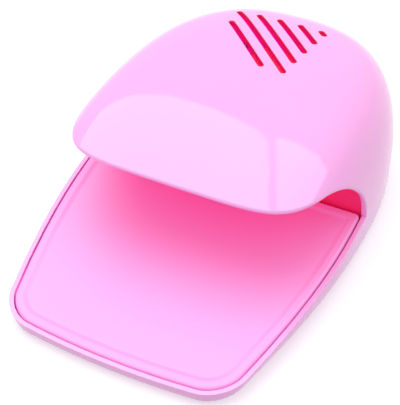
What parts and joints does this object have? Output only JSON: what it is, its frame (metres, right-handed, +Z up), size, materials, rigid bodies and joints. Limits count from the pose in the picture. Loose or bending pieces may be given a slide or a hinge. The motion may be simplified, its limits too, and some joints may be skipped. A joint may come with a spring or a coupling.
{
  "type": "nail polish fan dryer",
  "caption": "Press-plate nail dryer: a shallow tapered tray with a hinged hand plate under a domed hood with slanted air slots, and a battery fan behind a round grille.",
  "frame": {"origin": "under the middle of the body, on the surface that the feet stand on", "axes": "+Y from the open tray at the front to the rounded back, +Z up, +X to the right seen from the front"},
  "size_m": [0.0906, 0.1413, 0.0458],
  "materials": {
    "shell": "high-gloss injection moulded pink, slightly translucent",
    "panel": "gloss pink, one shade deeper",
    "steel": "zinc plated",
    "spring_steel": "bright drawn wire",
    "motor_steel": "drawn can, plated",
    "motor_cap": "moulded, natural white",
    "switch_housing": "moulded, satin",
    "switch_button": "moulded, satin",
    "brass": "stamped",
    "impeller": "moulded, semi-gloss",
    "cell_jacket": "printed sleeve over steel, plain colour",
    "contact_plating": "nickel plated strip",
    "wire_black": "soft sleeve",
    "wire_red": "soft sleeve",
    "wire_blue": "soft sleeve",
    "feet": "soft pads"
  },
  "bodies": {
    "base": {"lower_case": "shell", "upper_hood": "shell", "inner_panel": "panel", "hinge_pins": "steel", "return_spring_left": "spring_steel", "return_spring_right": "spring_steel", "switch_body": "switch_housing", "switch_terminals": "brass", "motor_can": "motor_steel", "motor_end_cap": "motor_cap", "motor_terminals": "brass", "motor_clamp": "panel", "clamp_screws": "steel", "battery_front": "cell_jacket", "battery_rear": "cell_jacket", "battery_springs": "spring_steel", "contact_bridge": "contact_plating", "contact_positive": "contact_plating", "contact_negative": "contact_plating", "wire_motor": "wire_black", "wire_switch": "wire_red", "wire_battery": "wire_blue", "panel_screws": "steel", "case_screws": "steel", "rubber_feet": "feet"},
    "plate": {"hand_plate": "shell"},
    "button": {"switch_button": "switch_button"},
    "rotor": {"motor_shaft": "steel", "fan_impeller": "impeller"},
    "cover": {"battery_cover": "shell"}
  },
  "joints": [
    {"name": "plate_press", "type": "hinge", "parent": "base", "child": "plate", "pos_m": [0, -0.054, 0.00415], "axis": [-1, 0, 0], "range_deg": [0, 2], "stiffness_Nm_per_rad": 6, "springref_deg": -0.57, "deforming": ["return_spring_left", "return_spring_right"]},
    {"name": "switch_press", "type": "slide", "parent": "base", "child": "button", "axis": [0, 0, -1], "range_m": [0, 0.0019]},
    {"name": "fan_spin", "type": "hinge", "parent": "base", "child": "rotor", "pos_m": [0, 0.012, 0.0275], "axis": [0, 1, 0], "continuous": true},
    {"name": "cover_slide", "type": "slide", "parent": "base", "child": "cover", "axis": [0, -1, 0], "range_m": [0, 0.006]}
  ],
  "couplings": [
    {"joint": "switch_press", "follows": "plate_press", "m_per_rad": 0.052}
  ]
}
